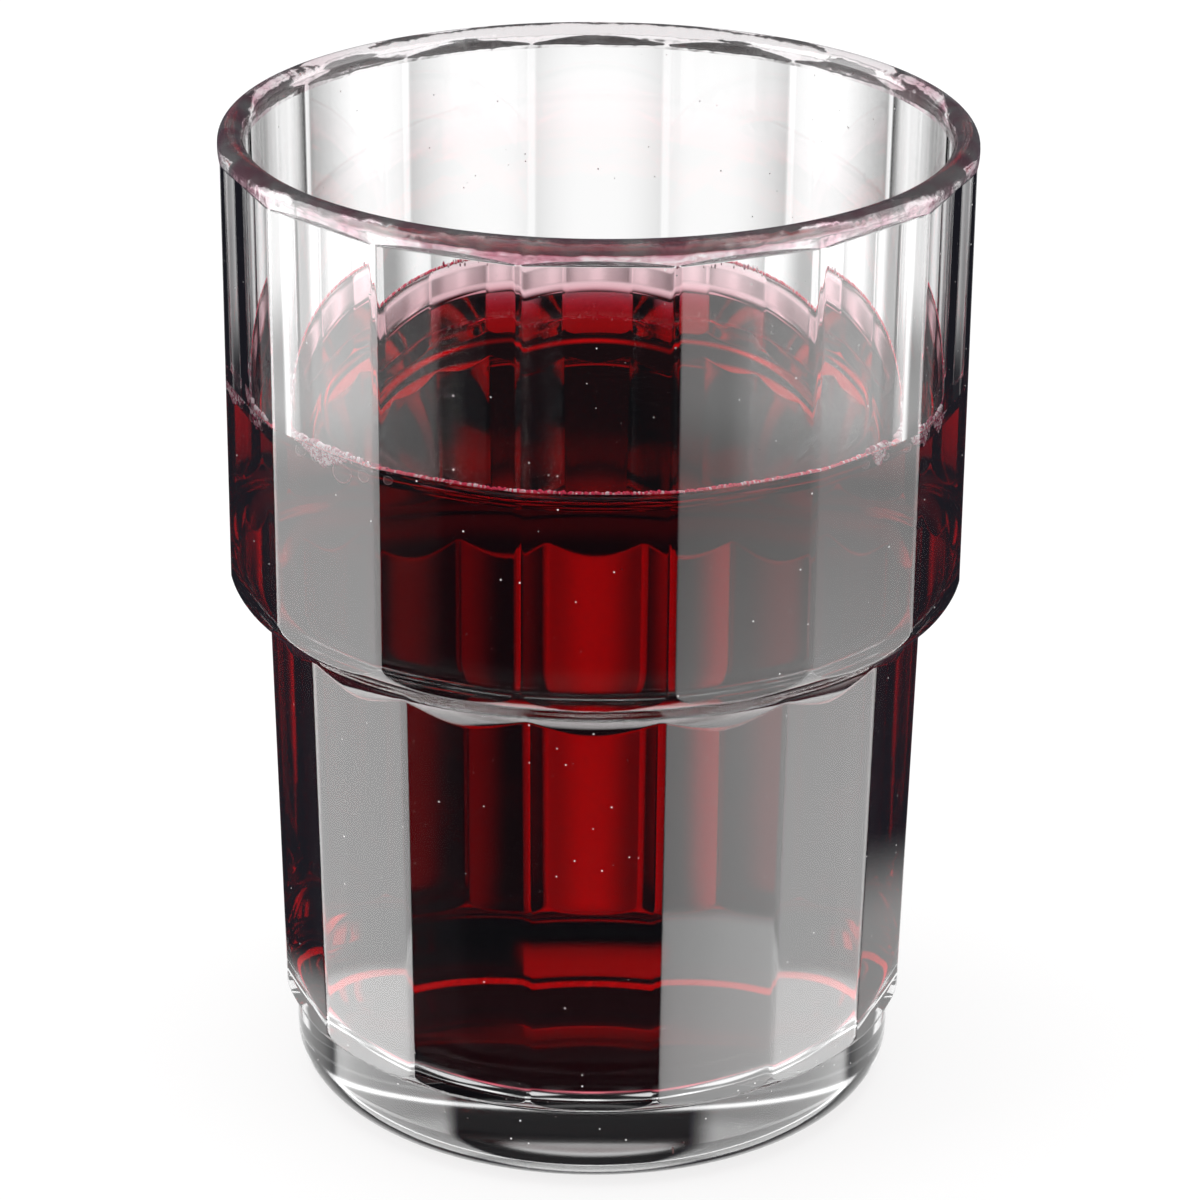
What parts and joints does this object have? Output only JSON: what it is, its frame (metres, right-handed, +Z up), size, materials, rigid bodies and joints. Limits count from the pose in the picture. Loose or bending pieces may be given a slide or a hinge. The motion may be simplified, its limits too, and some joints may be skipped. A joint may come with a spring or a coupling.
{
  "type": "juice glass",
  "caption": "Stackable clear glass tumbler with flat outside panels, a stepped shoulder and a round foot, filled with red juice that carries bubbles at its edge.",
  "frame": {"origin": "centre of the ring that the glass stands on", "axes": "+Z up along the axis of the glass, -Y towards the flat that faces the viewer"},
  "size_m": [0.065, 0.065, 0.0886],
  "materials": {
    "clear_glass": "clear, fire-polished",
    "red_juice": "clear dark red liquid",
    "bubble_film": "thin wet film"
  },
  "bodies": {
    "root": {"tumbler": "clear_glass", "juice": "red_juice", "bubbles": "bubble_film"}
  },
  "joints": []
}
